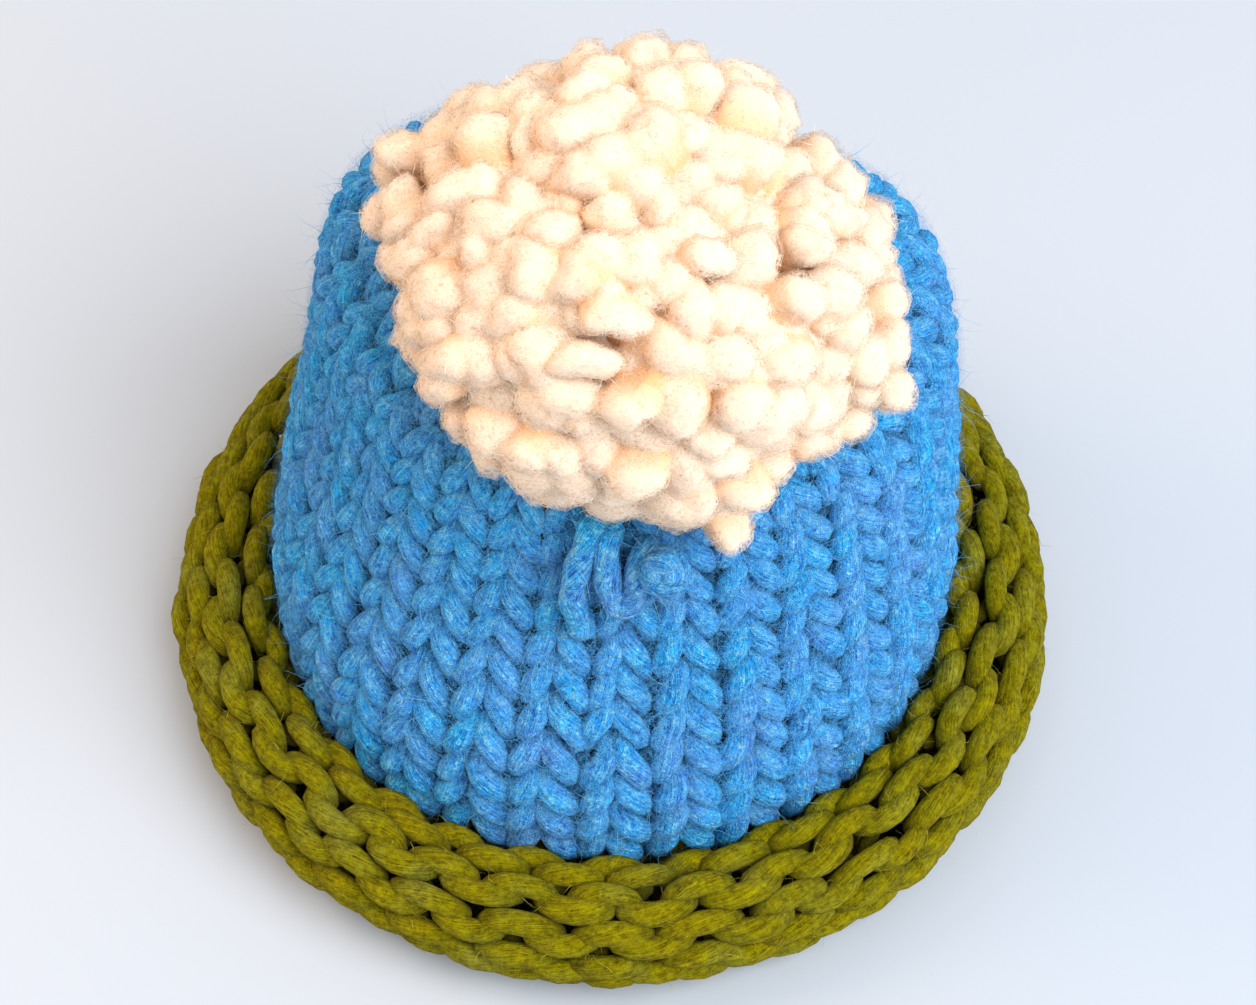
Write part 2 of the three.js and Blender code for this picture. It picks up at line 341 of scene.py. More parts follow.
def knitting_tree():
    """Rows of knitted loops, laid on a form: each row is one yarn that bends into every stitch.

    A loop's height is in rows, and its width, slant and spread are in stitches.
    """
    tree, size = new_tree(
        "knitting",
        {
            "Form": "Object",
            "Stitches": "Int",
            "Rows": "Int",
            "Points": "Int",
            "Sides": "Int",
            "First row": "Float",
            "Rows on form": "Float",
            "Yarn radius": "Float",
            "Yarn length": "Float",
            "Depth": "Float",
            "Loop height": "Float",
            "Loop width": "Float",
            "Slant": "Float",
            "Spread": "Float",
            "Side out": "Float",
            "Swell": "Float",
            "Uneven": "Float",
            "Lumps": "Float",
            "Twist": "Float",
            "Shade": "Float",
            "Seed": "Float",
            "Yarn": "Material",
        },
    )
    count = size["Stitches"] * size["Points"] * size["Rows"]
    points = add_node(tree, "GeometryNodePoints", {"Count": count}).outputs[0]
    index = Number(tree, tree.nodes.new("GeometryNodeInputIndex").outputs[0])
    per_row = size["Stitches"] * size["Points"]
    row = ((index + 0.5) / per_row).worked("FLOOR")
    along = (index - row * per_row) / size["Points"]
    turn = along * (2 * math.pi)

    # small slow differences from stitch to stitch, the same where a row meets its start
    angle = turn / size["Stitches"]
    ring = size["Stitches"] * 0.16
    place = vector_of(tree, ring * angle.cos(), ring * angle.sin(), row * 0.9 + size["Seed"])
    slow = parts_of(tree, noise_about_zero(tree, place, SLOW_CHANGE))
    quick = parts_of(tree, noise_about_zero(tree, place, QUICK_CHANGE))

    # the path of the yarn: it swings from side to side, up and down, and out and in, so that its
    # loops are wide at the head and foot and narrow between them
    swing = size["Loop width"] - size["Slant"] * turn.sin()
    double = turn * 2
    x = along + swing * double.sin() - size["Spread"] * turn.sin()
    x = x + size["Uneven"] * (slow[0] + quick[0] * 0.6)
    y = row + size["First row"] + size["Loop height"] * (1 - turn.cos()) * 0.5
    y = y + size["Uneven"] * (slow[1] + quick[1] * 0.5)
    wave = size["Side out"] * double.cos() * -1
    out = size["Depth"] * (wave + size["Uneven"] * 2.4 * (quick[2] + slow[2]))
    u = (x / size["Stitches"]).worked("FRACT")
    v = (y / size["Rows on form"]).worked("MAXIMUM", 0.001).worked("MINIMUM", 0.999)
    laid = vector_of(tree, u, v, 0.0)

    form = shape_of(tree, size["Form"])
    form_map = named_value(tree, "laid", "FLOAT_VECTOR")

    def on_form(value, data_type):
        inputs = {"Mesh": form, "Value": value, "UV Map": form_map, "Sample UV": laid}
        return add_node(tree, "GeometryNodeSampleUVSurface", inputs, data_type=data_type).outputs[0]

    # where the form is narrow, the stitches are tight, and their yarn is drawn thin
    position = on_form(own_place(tree), "FLOAT_VECTOR")
    outward = on_form(named_value(tree, "out", "FLOAT_VECTOR"), "FLOAT_VECTOR")
    girth = Number(tree, on_form(named_value(tree, "girth"), "FLOAT"))
    tight = (girth / size["Stitches"] / STITCH_WIDTH).worked("POWER", 0.6)
    tight = tight.worked("MINIMUM", LOOSEST).worked("MAXIMUM", TIGHTEST)
    lifted = vectors(tree, "MULTIPLY_ADD", outward, (out * tight).socket, position)
    points = moved_to(tree, points, lifted)
    thick = size["Yarn radius"] * tight * (1 + size["Swell"] * wave) * (1 + slow[0] * 0.35)
    points = stored(tree, points, "thick", thick)
    points = stored(tree, points, "along", (row * size["Stitches"] + along) * size["Yarn length"])
    # painted shade: the parts of each loop that lie inward take the yarn's painted shade colour, by this
    # share
    points = stored(tree, points, "deep", (wave * -0.5 + 0.5) * size["Shade"])

    # each row's points become one closed yarn, round and smooth
    inputs = {"Points": points, "Curve Group ID": row, "Weight": index}
    yarn = add_node(tree, "GeometryNodePointsToCurves", inputs).outputs[0]
    yarn = add_node(tree, "GeometryNodeCurveSplineType", {"Curve": yarn}, spline_type="POLY").outputs[0]
    yarn = add_node(tree, "GeometryNodeSetSplineCyclic", {"Geometry": yarn, "Cyclic": True}).outputs[0]
    inputs = {"Resolution": size["Sides"], "Radius": 1.0}
    circle = add_node(tree, "GeometryNodeCurvePrimitiveCircle", inputs, mode="RADIUS").outputs[0]
    circle = stored(tree, circle, "around", index / size["Sides"] * (2 * math.pi))
    inputs = {"Curve": yarn, "Profile Curve": circle, "Scale": named_value(tree, "thick")}
    mesh = add_node(tree, "GeometryNodeCurveToMesh", inputs).outputs[0]

    # what its wool reads, and lumps
    run = Number(tree, named_value(tree, "along"))
    around = Number(tree, named_value(tree, "around")) + run * size["Twist"]
    mesh = stored(tree, mesh, "fibre", vector_of(tree, around.cos(), around.sin(), run), "FLOAT_VECTOR")
    lump = parts_of(tree, noise_about_zero(tree, own_place(tree), LUMPS_IN_A_METRE, 2.0))[0]
    mesh = moved(tree, mesh, scaled(tree, own_normal(tree), lump * size["Lumps"]))
    end_tree(tree, mesh, size["Yarn"].socket)
    return tree


def colour(red, green, blue):
    """A colour as it is seen, 0 to 255, turned into the light that the shader works with."""
    shares = np.array([red, green, blue]) / 255
    return (*np.where(shares <= 0.04045, shares / 12.92, ((shares + 0.055) / 1.055) ** 2.4).tolist(), 1)


def painted_shade_by_depth(tree, shade, painted_shade):
    """Painted shade: little light reaches the far side of a yarn, so its depth mixes in a painted shade.
    """
    deep = add_node(tree, "ShaderNodeAttribute", attribute_name="deep").outputs["Fac"]
    inputs = {0: deep, 6: shade, 7: painted_shade}
    return add_node(tree, "ShaderNodeMix", inputs, data_type="RGBA").outputs[2]


def curling_lines(tree, place, spacing, thickness, fields):
    """Thin curling lines like tangled fibres, 1 on a line and 0 or less away from it."""
    lines = None
    for number in range(fields):
        shifted = vectors(tree, "ADD", place, (number * spacing * 37, number * spacing * 11, 0))
        inputs = {"Vector": shifted, "Scale": 1 / spacing, "Detail": 2.0, "Distortion": 1.2}
        noise = Number(tree, add_node(tree, "ShaderNodeTexNoise", inputs).outputs["Fac"])
        line = 1 - (noise - 0.5).worked("ABSOLUTE") / thickness
        lines = line if lines is None else lines.worked("MAXIMUM", line)
    return lines.worked("MAXIMUM", 0.0)


# how many patches of colour and how many tufts of fluff there are in a metre
WOOL_PATCHES = 110.0
WOOL_FLUFF = 750.0
TANGLE_SPACING = 1.7 * MM
TANGLE_THICKNESS = 0.05
WOOL_BUMP_HEIGHT = 0.8 * MM


def wool(name, colours, painted_shade_colour, streaks, tangle, sheen, sheen_colour, bump):
    """Wool yarn: fine fibres run along it and lie tangled over it, in several dyed shades."""
    material = bpy.data.materials.new(name)
    material.use_nodes = True
    tree = material.node_tree
    shader = tree.nodes["Principled BSDF"]
    fibre = add_node(tree, "ShaderNodeAttribute", attribute_name="fibre").outputs["Vector"]
    stretched = vectors(tree, "MULTIPLY", fibre, streaks)
    inputs = {"Vector": stretched, "Scale": 1.0, "Detail": 3.0, "Roughness": 0.6, "Distortion": 1.0}
    along_yarn = Number(tree, add_node(tree, "ShaderNodeTexNoise", inputs).outputs["Fac"])
    place = add_node(tree, "ShaderNodeTexCoord").outputs["Object"]
    inputs = {"Vector": place, "Scale": WOOL_PATCHES, "Detail": 2.0}
    tint = Number(tree, add_node(tree, "ShaderNodeTexNoise", inputs).outputs["Fac"])
    inputs = {"Vector": place, "Scale": WOOL_FLUFF, "Detail": 2.0, "Roughness": 0.6}
    fluff = Number(tree, add_node(tree, "ShaderNodeTexNoise", inputs).outputs["Fac"])
    lines = curling_lines(tree, place, TANGLE_SPACING, TANGLE_THICKNESS, fields=2) * tangle
    mixed = along_yarn * 0.65 + fluff * 0.35 + lines * 0.14 - 0.02
    shades = add_node(tree, "ShaderNodeValToRGB", {0: mixed})
    ramp = shades.color_ramp
    while len(ramp.elements) < len(colours):
        ramp.elements.new(0.5)
    for element, (where, shade) in zip(ramp.elements, colours):
        element.position = where
        element.color = colour(*shade)
    inputs = {"Hue": 0.525 - tint * 0.05, "Saturation": tint * 0.3 + 0.85, "Value": tint * 0.2 + 0.9}
    inputs["Color"] = shades.outputs[0]
    tinted = add_node(tree, "ShaderNodeHueSaturation", inputs).outputs[0]
    # painted shade: where the yarn lies deep, its colour turns towards the painted shade colour
    tree.links.new(painted_shade_by_depth(tree, tinted, colour(*painted_shade_colour)), shader.inputs["Base Color"])
    shader.inputs["Roughness"].default_value = 1.0
    shader.inputs["Specular IOR Level"].default_value = 0.05
    shader.inputs["Sheen Weight"].default_value = sheen
    shader.inputs["Sheen Roughness"].default_value = 0.6
    shader.inputs["Sheen Tint"].default_value = colour(*sheen_colour)
    height = along_yarn * 0.5 + fluff * 1.2 + lines * 0.5
    inputs = {"Height": height, "Strength": bump, "Distance": WOOL_BUMP_HEIGHT}
    raised = add_node(tree, "ShaderNodeBump", inputs)
    tree.links.new(raised.outputs[0], shader.inputs["Normal"])
    return material


BLUE_SHADES = (
    (0.36, (10, 66, 144)),
    (0.44, (30, 128, 208)),
    (0.5, (48, 160, 234)),
    (0.56, (76, 184, 246)),
    (0.66, (140, 218, 252)),
)
# painted shade of the gaps between stitches, where the yarn lies deep
PAINTED_SHADE_BLUE = (2, 24, 72)
blue_wool = wool(
    "blue_wool",
    BLUE_SHADES,
    PAINTED_SHADE_BLUE,
    streaks=(6.5, 6.5, 180.0),
    tangle=1.0,
    sheen=0.25,
    sheen_colour=(170, 205, 240),
    bump=0.9,
)

# the form's seam is behind
azimuths = np.linspace(0, 2 * math.pi, FORM_COLUMNS) + math.pi / 2
around, along = np.meshgrid(azimuths, even_shares(FORM_ROWS))
crown_form = form_object("crown_form", crown_points(around, along, FABRIC_MIDDLE), 1)
knitting = knitting_tree()

CROWN_KNIT = {
    "Form": crown_form,
    "Points": 22,
    "Sides": 10,
    "Rows on form": CROWN_ROWS,
    "Yarn radius": CROWN_YARN_RADIUS,
    "Yarn length": CROWN_YARN_LENGTH,
    "Depth": 1.7 * MM,
    "Loop height": 1.6,
    "Loop width": 0.25,
    "Slant": -0.03,
    "Spread": 0.02,
    "Side out": 1.0,
    "Swell": 0.16,
    "Uneven": 0.4,
    "Lumps": 0.9 * MM,
    "Twist": 190.0,
    "Shade": 0.8,
    "Yarn": blue_wool,
}
# piece, stitches round, rows, first row, seed
CROWN_PARTS = (
    ("crown_lower_rows", STITCHES_ROUND, 6, -0.4, 3.0),
    ("crown_upper_rows", STITCHES_ROUND, 6, 5.6, 8.0),
    ("crown_decreases", STITCHES_ROUND // 2, 2, 11.6, 14.0),
    ("crown_gather", STITCHES_ROUND // 4, 2, 13.6, 19.0),
)
for name, stitches, rows, first_row, seed in CROWN_PARTS:
    sizes = {"Stitches": stitches, "Rows": rows, "First row": first_row, "Seed": seed}
    crown_piece = made_by(knitting, name, {**CROWN_KNIT, **sizes})
    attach(crown_piece, "root")
    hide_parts("crown")

# Crown's loose fibres: the finest hairs of the same blue wool, which lie across the stitches
# as a thin haze. They are held in the yarn, and here three clear sheets close over the
# crown's face carry them.
VEIL_COLUMNS = 120
VEIL_ROWS = 60
VEIL_HEIGHTS = (-0.2, 0.3, 0.7)
VEIL_SHARES = (0.1, 0.85)
PALE_BLUE = (88, 170, 226)


def fibre_net(name, shades, attribute, spacing, thickness, cover):
    """Loose fine fibres: a layer that is clear except along thin curling lines.

    The first shade is that of fibres on the outside, and the second is a painted shade for fibres deep
    down.
    """
    material = bpy.data.materials.new(name)
    material.use_nodes = True
    tree = material.node_tree
    shader = tree.nodes["Principled BSDF"]
    if attribute:
        place = add_node(tree, "ShaderNodeAttribute", attribute_name=attribute).outputs["Vector"]
    else:
        place = add_node(tree, "ShaderNodeTexCoord").outputs["Object"]
    # each layer has its own fibres, which lie in patches
    layer = Number(tree, add_node(tree, "ShaderNodeAttribute", attribute_name="layer").outputs["Fac"])
    cross = layer * spacing * 20
    place = vectors(tree, "ADD", place, vector_of(tree, cross, cross * 0.7, cross * -0.4))
    lines = curling_lines(tree, place, spacing, thickness, fields=3)
    inputs = {"Vector": place, "Scale": 0.35 / spacing, "Detail": 1.0}
    patch = Number(tree, add_node(tree, "ShaderNodeTexNoise", inputs).outputs["Fac"])
    patch = ((patch - 0.3) * 4).worked("MAXIMUM", 0.0).worked("MINIMUM", 1.0)
    seen = lines * patch * (cover - layer * cover * 0.3)
    tree.links.new(seen.worked("MINIMUM", 1.0).socket, shader.inputs["Alpha"])
    # painted shade for the fibres that lie deep
    shaded = painted_shade_by_depth(tree, colour(*shades[0]), colour(*shades[1]))
    tree.links.new(shaded, shader.inputs["Base Color"])
    shader.inputs["Roughness"].default_value = 1.0
    shader.inputs["Specular IOR Level"].default_value = 0.0
    return material


def faces_round(corner):
    """Faces between rows of corners, each row of which goes all the way round."""
    nextto = np.roll(corner, -1, axis=1)
    return np.stack([corner[:-1], nextto[:-1], nextto[1:], corner[1:]], -1).reshape(-1, 4)


def veil(name, layers, shares):
    """Sheets that follow the crown's outer face at several heights and carry its loose fibres."""
    around, along = np.meshgrid(
        np.linspace(0, 2 * math.pi, VEIL_COLUMNS, endpoint=False),
        np.linspace(*shares, VEIL_ROWS),
    )
    sheets = [crown_points(around, along, -height) * MM for height in layers]
    corner = np.arange(VEIL_ROWS * VEIL_COLUMNS).reshape(VEIL_ROWS, VEIL_COLUMNS)
    quads = faces_round(corner)
    faces = np.concatenate([quads + corner.size * number for number in range(len(layers))])
    mesh = bpy.data.meshes.new(name)
    points = np.concatenate([sheet.reshape(-1, 3) for sheet in sheets])
    mesh.from_pydata(points.tolist(), [], faces.tolist())
    layer = np.repeat(np.arange(len(layers), dtype=float), corner.size)
    mesh.attributes.new("layer", "FLOAT", "POINT").data.foreach_set("value", layer)
    mesh.shade_smooth()
    piece = bpy.data.objects.new(name, mesh)
    bpy.context.scene.collection.objects.link(piece)
    return piece


crown_veil = veil("crown_veil", VEIL_HEIGHTS, VEIL_SHARES)
blue_fibres = fibre_net(
    "blue_fibre_net",
    (PALE_BLUE, PALE_BLUE),
    attribute="",
    spacing=2.2 * MM,
    thickness=0.022,
    cover=0.42,
)
crown_veil.data.materials.append(blue_fibres)
crown_veil.visible_shadow = False
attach(crown_veil, "root")
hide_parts("crown")

# Rolled brim: the same fabric goes on in smooth green wool and curls outwards by itself, so
# its purl side shows. The cast-on edge ends tucked in against the crown.
BRIM_YARN_RADIUS = 1.55 * MM
# the roll's centre, and its radius in most places, where it rests on the table, and inside
ROLL_CENTRE = (60.5, 10.4)
ROLL_MIDDLE = 8.0
ROLL_FLAT = 7.3
ROLL_INSIDE = 9.0
# degrees round the roll: its fabric starts at the tucked edge, passes straight down, where it
# is flat to both sides, and ends where the crown starts
ROLL_START = 515
ROLL_END = 180
STRAIGHT_DOWN = 270
FLAT_WITHIN = 80
DEGREES_A_ROW = 35
ROLL_ROWS = (ROLL_START - ROLL_END) / DEGREES_A_ROW
TUCK_FROM = 450
TUCK_IN = 3.0
# the leg is the fabric that rises from the roll into the crown
LEG_TOP = (50.8, 20.0)
LEG_ROWS = 1.7


def brim_section(share):
    """Radius and height of the middle of the brim's fabric, from the tucked edge to the crown."""
    row = share * (ROLL_ROWS + LEG_ROWS)
    angle = ROLL_START - np.minimum(row, ROLL_ROWS) * DEGREES_A_ROW
    under = np.clip(1 - np.abs(angle - STRAIGHT_DOWN) / FLAT_WITHIN, 0, 1)
    inside = np.clip((STRAIGHT_DOWN - angle) / (STRAIGHT_DOWN - ROLL_END), 0, 1)
    tuck = np.clip((angle - TUCK_FROM) / (ROLL_START - TUCK_FROM), 0, 1)
    radius = ROLL_MIDDLE - (ROLL_MIDDLE - ROLL_FLAT) * under + (ROLL_INSIDE - ROLL_MIDDLE) * inside**2
    radius = radius - TUCK_IN * tuck
    x = ROLL_CENTRE[0] + radius * np.cos(np.radians(angle))
    z = ROLL_CENTRE[1] + radius * np.sin(np.radians(angle))
    leg = np.clip((row - ROLL_ROWS) / LEG_ROWS, 0, 1)
    return x + (LEG_TOP[0] - x) * leg, z + (LEG_TOP[1] - z) * leg


share = np.linspace(0, 1, FORM_ROWS)
ring_radius, ring_height = brim_section(share)
brim_points = np.stack(
    [
        ring_radius[:, None] * np.cos(azimuths),
        ring_radius[:, None] * np.sin(azimuths),
        ring_height[:, None] + 0 * azimuths,
    ],
    -1,
)
brim_form = form_object("brim_form", brim_points, -1)
GREEN_SHADES = (
    (0.3, (66, 54, 0)),
    (0.42, (98, 86, 0)),
    (0.5, (126, 115, 0)),
    (0.6, (148, 137, 0)),
    (0.72, (174, 164, 12)),
)
# painted shade of the gaps between the brim's stitches, where the yarn lies deep
PAINTED_SHADE_GREEN = (40, 34, 0)
green_wool = wool(
    "green_wool",
    GREEN_SHADES,
    PAINTED_SHADE_GREEN,
    streaks=(9.0, 9.0, 130.0),
    tangle=0.4,
    sheen=0.1,
    sheen_colour=(210, 205, 120),
    bump=0.6,
)
BRIM_KNIT = {
    "Form": brim_form,
    "Stitches": STITCHES_ROUND,
    "Rows": 10,
    "Points": 22,
    "Sides": 10,
    "First row": 0.1,
    "Rows on form": ROLL_ROWS + LEG_ROWS,
    "Yarn radius": BRIM_YARN_RADIUS,
    "Yarn length": 36 * MM,
    "Depth": 1.5 * MM,
    "Loop height": 1.5,
    "Loop width": 0.25,
    "Slant": 0.0,
    "Spread": 0.0,
    "Side out": -1.0,
    "Swell": 0.18,
    "Uneven": 0.4,
    "Lumps": 0.4 * MM,
    "Twist": 230.0,
    "Shade": 0.9,
    "Seed": 31.0,
    "Yarn": green_wool,
}
rolled_brim = made_by(knitting, "brim_loops", BRIM_KNIT)
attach(rolled_brim, "root")
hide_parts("rolled_brim")

# Pompom: a ball of cream yarn ends, tied through the middle and on top of the crown. Each end
# is plump and soft, and they part a little along the tie, which shows as a crease in front.
POMPOM_CENTRE = (4 * MM, -12 * MM, 100 * MM)
POMPOM_RADIUS = 32.4 * MM
# the crease of the tie is a circle round this axis, deep in front and gone behind: its place
# and width are cosines of the angle from the axis
TIE_AXIS = (0, 0.365, 0.931)
TIE_CREASE = 0.74
TIE_CREASE_WIDTH = 0.085
TIE_CREASE_DEPTH = 8 * MM
# where the ball's outline stands out or in: direction, by how much, and how wide
LOBES = (
    ((1, 0, 0), 2 * MM, 0.045),
    ((0.74, 0.55, 0.39), -3 * MM, 0.045),
    ((-0.87, 0.41, 0.29), 7 * MM, 0.045),
    ((-0.91, -0.35, -0.24), -3.5 * MM, 0.045),
    ((-0.57, -0.67, -0.47), -7 * MM, 0.045),
    ((-0.18, -0.81, -0.56), -1 * MM, 0.045),
    ((0.06, -0.82, -0.57), -8.5 * MM, 0.03),
    ((0.32, -0.77, -0.55), 8 * MM, 0.035),
    ((0.62, -0.65, -0.45), -6 * MM, 0.045),
    ((0.93, -0.31, -0.21), 4 * MM, 0.045),
)
# how far below its tip a yarn end starts to take the painted crevice shade, and takes it fully
DEEP_FROM = -1 * MM
DEEP_TO = -7 * MM
TIP_WIDTH = 3.5 * MM
TIP_LENGTH = 15 * MM
# heights of the layers of fluff on a yarn end
FLUFF_LAYER = 0.35 * MM
WISP_LAYERS = (0.75 * MM, 1.2 * MM)
# how far below its tip the fluff starts to sink in, and is in, by this share of its height
FLUFF_FROM = -2.5 * MM
FLUFF_TO = -7 * MM
FLUFF_SINK = 0.4
# the ends of a chance in every direction
EACH_WAY = ((-1, -1, -1), (1, 1, 1))


def soft_tip(name, subdivisions, layers):
    """One yarn end, round at its tip, which is at the origin, and tapering down into the ball.

    A layer stands off it by its own height, and sinks into it lower down. Each point knows where
    it lies on the end itself, and how far out its layer is, from 0 to 1.
    """
    bpy.ops.mesh.primitive_ico_sphere_add(subdivisions=subdivisions, radius=1)
    ball = bpy.context.object
    ball.name = name
    way = np.array([vertex.co for vertex in ball.data.vertices])
    faces = np.array([face.vertices for face in ball.data.polygons])
    upper = (TIP_WIDTH, TIP_WIDTH, TIP_WIDTH)
    lower = (TIP_WIDTH, TIP_WIDTH, TIP_LENGTH)
    lies = way * np.where(way[:, 2:] > 0, upper, lower) - (0, 0, TIP_WIDTH)
    share = np.clip((lies[:, 2:] - FLUFF_TO) / (FLUFF_FROM - FLUFF_TO), 0, 1)
    rise = share * (1 + FLUFF_SINK) - FLUFF_SINK
    points = np.concatenate([lies + way * (height * rise) for height in layers])
    corners = np.concatenate([faces + len(way) * number for number in range(len(layers))])
    mesh = bpy.data.meshes.new(name)
    mesh.from_pydata(points.tolist(), [], corners.tolist())
    tip_place = np.tile(lies, (len(layers), 1))
    layer = np.repeat(np.array(layers) / max(WISP_LAYERS), len(way))
    place = mesh.attributes.new("fibre_tip", "FLOAT_VECTOR", "POINT")
    place.data.foreach_set("vector", tip_place.ravel())
    mesh.attributes.new("layer", "FLOAT", "POINT").data.foreach_set("value", layer)
    ball.data = mesh
    return ball


def chance(tree, seed, low_end, high_end):
    """Three random numbers for each point, between two ends."""
    inputs = {"Min": low_end, "Max": high_end, "Seed": seed}
    return add_node(tree, "FunctionNodeRandomValue", inputs, data_type="FLOAT_VECTOR").outputs["Value"]


def pompom_tree():
    """Yarn ends spread over a ball, dented along the tie and pressed up by the crown under it."""
    tree, size = new_tree(
        "pompom",
        {
            "Tip": "Object",
            "Crown": "Object",
            "Centre": "Vector",
            "Radius": "Float",
            "Spacing": "Float",
            "Uneven length": "Float",
            "Uneven lean": "Float",
            "Smallest": "Vector",
            "Largest": "Vector",
            "Above crown": "Float",
            "Lumps": "Float",
            "Seed": "Int",
            "Yarn": "Material",
        },
    )
    inputs = {"Radius": 1.0, "Subdivisions": 5}
    ball = add_node(tree, "GeometryNodeMeshIcoSphere", inputs).outputs["Mesh"]
    inputs = {"Mesh": ball, "Distance Min": size["Spacing"], "Density Max": 900.0, "Seed": size["Seed"]}
    spread = add_node(tree, "GeometryNodeDistributePointsOnFaces", inputs, distribute_method="POISSON")
    towards = vectors(tree, "NORMALIZE", own_place(tree))

    # the ball's own shape
    off_crease = (along_axis(tree, towards, TIE_AXIS) - TIE_CREASE) / TIE_CREASE_WIDTH
    in_front = (0.5 - parts_of(tree, towards)[1]).worked("MINIMUM", 1.0).worked("MAXIMUM", 0.0)
    crease = (off_crease * off_crease * -1).worked("EXPONENT") * in_front
    reach = size["Radius"] - crease * TIE_CREASE_DEPTH
    for axis, growth, width in LOBES:
        reach = reach + ((along_axis(tree, towards, axis) - 1) / width).worked("EXPONENT") * growth
    loose = parts_of(tree, chance(tree, size["Seed"] + 1, *EACH_WAY))
    reach = reach + loose[0] * size["Uneven length"]
    place = vectors(tree, "ADD", scaled(tree, towards, reach), size["Centre"])
    start = chance(tree, size["Seed"] + 2, (0, 0, 0), (90, 90, 90))
    points = stored(tree, spread.outputs["Points"], "towards", towards, "FLOAT_VECTOR")
    points = stored(tree, points, "fibre_start", start, "FLOAT_VECTOR")
    points = moved_to(tree, points, place)

    # ends that would lie inside the crown are left out
    crown = shape_of(tree, size["Crown"])

    def on_crown(value):
        inputs = {"Mesh": crown, "Sample Position": own_place(tree), "Value": value}
        made = add_node(tree, "GeometryNodeSampleNearestSurface", inputs, data_type="FLOAT_VECTOR")
        return made.outputs[0]

    def height_above_crown():
        outward = vectors(tree, "NORMALIZE", on_crown(named_value(tree, "out", "FLOAT_VECTOR")))
        apart = vectors(tree, "SUBTRACT", own_place(tree), on_crown(own_place(tree)))
        return along_axis(tree, apart, outward), outward

    buried = height_above_crown()[0].worked("LESS_THAN", size["Above crown"] * 0.5)
    inputs = {"Geometry": points, "Selection": buried}
    points = add_node(tree, "GeometryNodeDeleteGeometry", inputs).outputs[0]

    # a yarn end stands on each point that is left, and leans its own way
    lean = scaled(tree, chance(tree, size["Seed"] + 3, *EACH_WAY), size["Uneven lean"])
    facing = vectors(tree, "ADD", named_value(tree, "towards", "FLOAT_VECTOR"), lean)
    turned = add_node(tree, "FunctionNodeAlignRotationToVector", {"Vector": facing}, axis="Z")
    scale = chance(tree, size["Seed"] + 4, size["Smallest"], size["Largest"])
    inputs = {"Points": points, "Instance": shape_of(tree, size["Tip"]), "Scale": scale}
    inputs["Rotation"] = turned.outputs[0]
    tips = add_node(tree, "GeometryNodeInstanceOnPoints", inputs).outputs[0]
    tips = add_node(tree, "GeometryNodeRealizeInstances", {"Geometry": tips}).outputs[0]

    # what its wool reads: a place in the yarn, in millimetres, and how deep it lies, which sets its
    # painted shade
    on_tip = named_value(tree, "fibre_tip", "FLOAT_VECTOR")
    start = named_value(tree, "fibre_start", "FLOAT_VECTOR")
    fibre = vectors(tree, "ADD", scaled(tree, on_tip, 1 / MM), start)
    tips = stored(tree, tips, "fibre", fibre, "FLOAT_VECTOR")
    inputs = {"Value": parts_of(tree, on_tip)[2], "From Min": DEEP_FROM, "From Max": DEEP_TO}
    deep = add_node(tree, "ShaderNodeMapRange", inputs, interpolation_type="SMOOTHSTEP").outputs[0]
    tips = stored(tree, tips, "deep", deep)

    # lumps, and a soft push off the crown
    lump = parts_of(tree, noise_about_zero(tree, fibre, LUMPS_IN_A_METRE * MM, 2.0))[0]
    tips = moved(tree, tips, scaled(tree, own_normal(tree), lump * size["Lumps"]))
    height, outward = height_above_crown()
    push = (size["Above crown"] - height).worked("MAXIMUM", 0.0)
    tips = moved(tree, tips, scaled(tree, outward, push))
    end_tree(tree, tips, size["Yarn"].socket)
    return tree


CREAM_SHADES = (
    (0.3, (219, 189, 163)),
    (0.45, (224, 196, 172)),
    (0.6, (228, 203, 182)),
    (0.75, (233, 211, 192)),
)
# painted shade and painted warm light in the crevices between the yarn ends: darker and peach, as if lit
# by light that has passed through the wool. The fibre pair is the fibres' own colour and their painted
# shade deep down.
PAINTED_SHADE_CREAM = (240, 184, 126)
CREAM_FIBRE_AND_PAINTED_SHADE = ((245, 224, 202), (247, 202, 152))
cream_wool = wool(
    "cream_wool",
    CREAM_SHADES,
    PAINTED_SHADE_CREAM,
    streaks=(1.6, 1.6, 0.4),
    tangle=0.0,
    sheen=0.5,
    sheen_colour=(255, 240, 225),
    bump=0.18,
)
cream_fluff = fibre_net(
    "cream_fibre_net", CREAM_FIBRE_AND_PAINTED_SHADE, attribute="fibre", spacing=1.2, thickness=0.07, cover=0.9
)
cream_wisps = fibre_net(
    "cream_wisp_net", CREAM_FIBRE_AND_PAINTED_SHADE, attribute="fibre", spacing=1.6, thickness=0.05, cover=0.9
)
# piece, mesh of one end and its material
POMPOM_PARTS = (
    ("pompom_ends", soft_tip("yarn_end", subdivisions=3, layers=(0,)), cream_wool),
    ("pompom_fluff", soft_tip("yarn_end_fluff", subdivisions=3, layers=(FLUFF_LAYER,)), cream_fluff),
    ("pompom_wisps", soft_tip("yarn_end_wisps", subdivisions=2, layers=WISP_LAYERS), cream_wisps),
)
POMPOM_YARN = {
    "Crown": crown_form,
    "Centre": POMPOM_CENTRE,
    "Radius": POMPOM_RADIUS,
    "Spacing": 0.141,
    "Uneven length": 3.0 * MM,
    "Uneven lean": 0.45,
    "Smallest": (0.72, 0.68, 0.8),
    "Largest": (1.24, 1.12, 1.1),
    "Above crown": 4.6 * MM,
    "Lumps": 4.8 * MM,
    "Seed": 5,
}
pompom_form = pompom_tree()
for name, tip, yarn in POMPOM_PARTS:
    pompom = made_by(pompom_form, name, {**POMPOM_YARN, "Tip": tip, "Yarn": yarn})
    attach(pompom, "root")
    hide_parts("pompom")
    pompom.visible_shadow = yarn == cream_wool
    bpy.data.objects.remove(tip)

